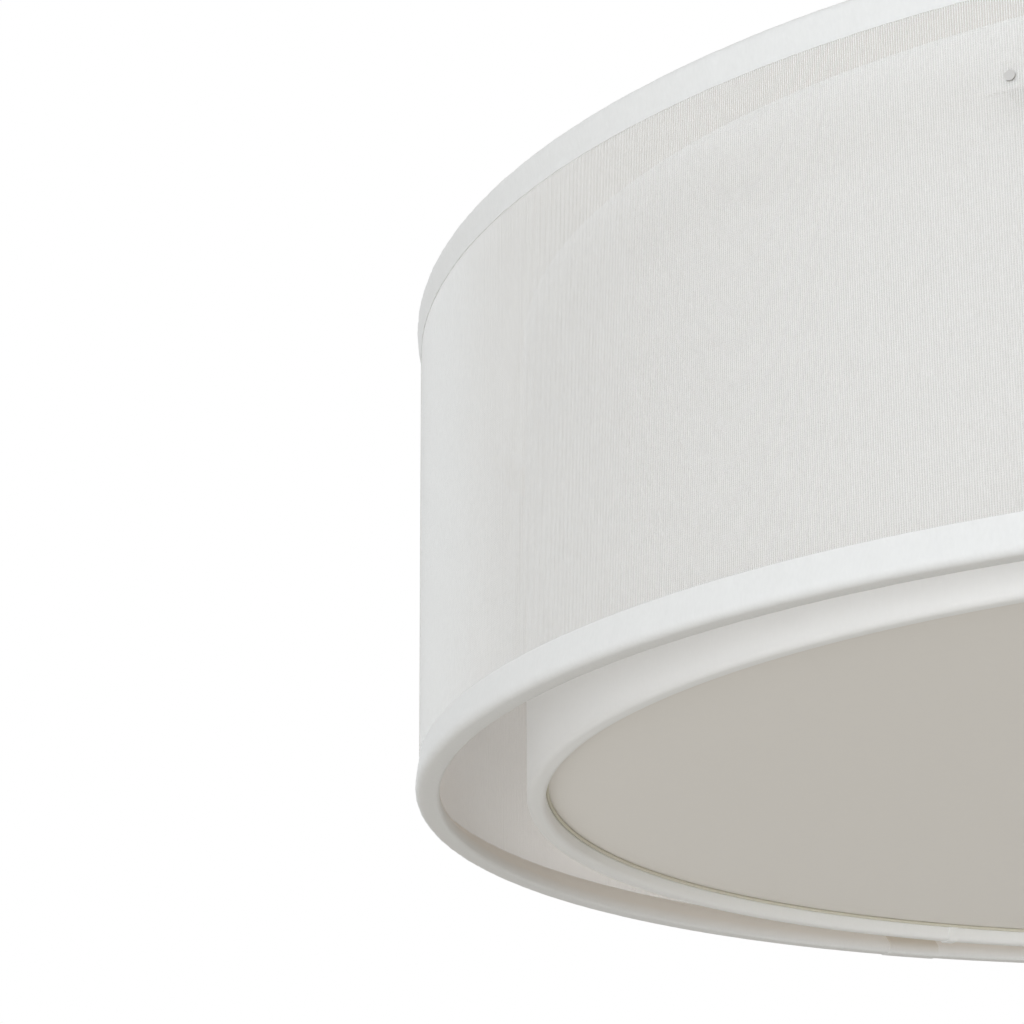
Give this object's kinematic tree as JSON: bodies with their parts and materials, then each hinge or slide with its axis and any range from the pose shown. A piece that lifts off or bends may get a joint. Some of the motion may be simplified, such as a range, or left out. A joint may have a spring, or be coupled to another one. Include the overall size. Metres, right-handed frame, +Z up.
{
  "type": "pendant light",
  "caption": "Pendant light: a sheer cloth drum around a lined cloth drum with a recessed diffuser disc and bulbs inside, hung on a stem from a swivel canopy.",
  "frame": {"origin": "on the ceiling face, at the middle of the mounting plate's two slots, on the lamp's axis", "axes": "+Z up into the ceiling, X along the plate's slots, the front of the lamp towards -Y"},
  "size_m": [0.6099, 0.61, 0.5246],
  "materials": {
    "sheer": "sheer woven white cloth with upright threads",
    "hem_tape": "white cloth tape rolled over the shade's edge",
    "shade_cloth": "fine opaque white cloth",
    "shade_liner": "matt white styrene sheet",
    "opal_disc": "satin opal acrylic",
    "satin_nickel": "satin nickel plate",
    "zinc_steel": "bright zinc plate",
    "white_steel": "white powder coat",
    "green_screw": "green earth screw",
    "lampholder_body": "moulded white lampholder",
    "lamp_brass": "stamped brass",
    "bulb_cap_metal": "bright aluminium cap",
    "bulb_glass": "frosted white glass"
  },
  "bodies": {
    "ceiling": {"mounting_plate": "zinc_steel", "ground_screw": "green_screw", "canopy": "satin_nickel", "canopy_studs": "zinc_steel", "stud_nuts": "zinc_steel", "cap_nuts": "satin_nickel", "swivel_socket": "satin_nickel", "swivel_ring": "satin_nickel", "swivel_locknut": "zinc_steel"},
    "swivel_pins": {"swivel_pins": "zinc_steel"},
    "fixture": {"outer_cloth": "sheer", "outer_top_hem": "hem_tape", "outer_bottom_hem": "hem_tape", "inner_cloth": "shade_cloth", "inner_liner": "shade_liner", "swivel_ball": "satin_nickel", "upper_stem": "satin_nickel", "stem_coupler": "satin_nickel", "lower_stem": "satin_nickel", "stem_collar": "satin_nickel", "socket_hub": "satin_nickel", "hub_cap": "satin_nickel", "hub_nipple": "zinc_steel", "hub_locknut": "zinc_steel", "lamp_nipples": "zinc_steel", "lamp_nuts": "zinc_steel", "shade_screws": "zinc_steel", "shade_nuts": "zinc_steel", "spacer_rivets": "zinc_steel", "shade_spider": "white_steel", "shade_spacers": "white_steel", "outer_top_ring": "white_steel", "outer_bottom_ring": "white_steel", "inner_top_ring": "white_steel", "inner_bottom_ring": "white_steel", "lampholder_1": "lampholder_body", "lampholder_2": "lampholder_body", "lampholder_3": "lampholder_body", "screw_shell_1": "lamp_brass", "screw_shell_2": "lamp_brass", "screw_shell_3": "lamp_brass", "lamp_contacts": "lamp_brass"},
    "bulb_1": {"bulb_globe_1": "bulb_glass", "bulb_cap_1": "bulb_cap_metal"},
    "bulb_2": {"bulb_globe_2": "bulb_glass", "bulb_cap_2": "bulb_cap_metal"},
    "bulb_3": {"bulb_globe_3": "bulb_glass", "bulb_cap_3": "bulb_cap_metal"},
    "diffuser": {"diffuser": "opal_disc"}
  },
  "joints": [
    {"name": "swivel_fore_aft", "type": "hinge", "parent": "ceiling", "child": "swivel_pins", "pos_m": [0, 0, -0.044], "axis": [1, 0, 0], "range_deg": [-20, 20]},
    {"name": "swivel_side", "type": "hinge", "parent": "swivel_pins", "child": "fixture", "pos_m": [0, 0, -0.044], "axis": [0, 1, 0], "range_deg": [-20, 20]},
    {"name": "bulb_1_turn", "type": "hinge", "parent": "fixture", "child": "bulb_1", "pos_m": [-0.01753, -0.06777, -0.4245], "axis": [-0.2504, -0.9681, 0], "range_deg": [0, 900]},
    {"name": "bulb_2_turn", "type": "hinge", "parent": "fixture", "child": "bulb_2", "pos_m": [0.06745, 0.01871, -0.4245], "axis": [0.9636, 0.2672, 0], "range_deg": [0, 900]},
    {"name": "bulb_3_turn", "type": "hinge", "parent": "fixture", "child": "bulb_3", "pos_m": [-0.04993, 0.04906, -0.4245], "axis": [-0.7133, 0.7009, 0], "range_deg": [0, 900]},
    {"name": "diffuser_lift", "type": "slide", "parent": "fixture", "child": "diffuser", "axis": [0, 0, 1], "range_m": [0, 0.04]}
  ]
}
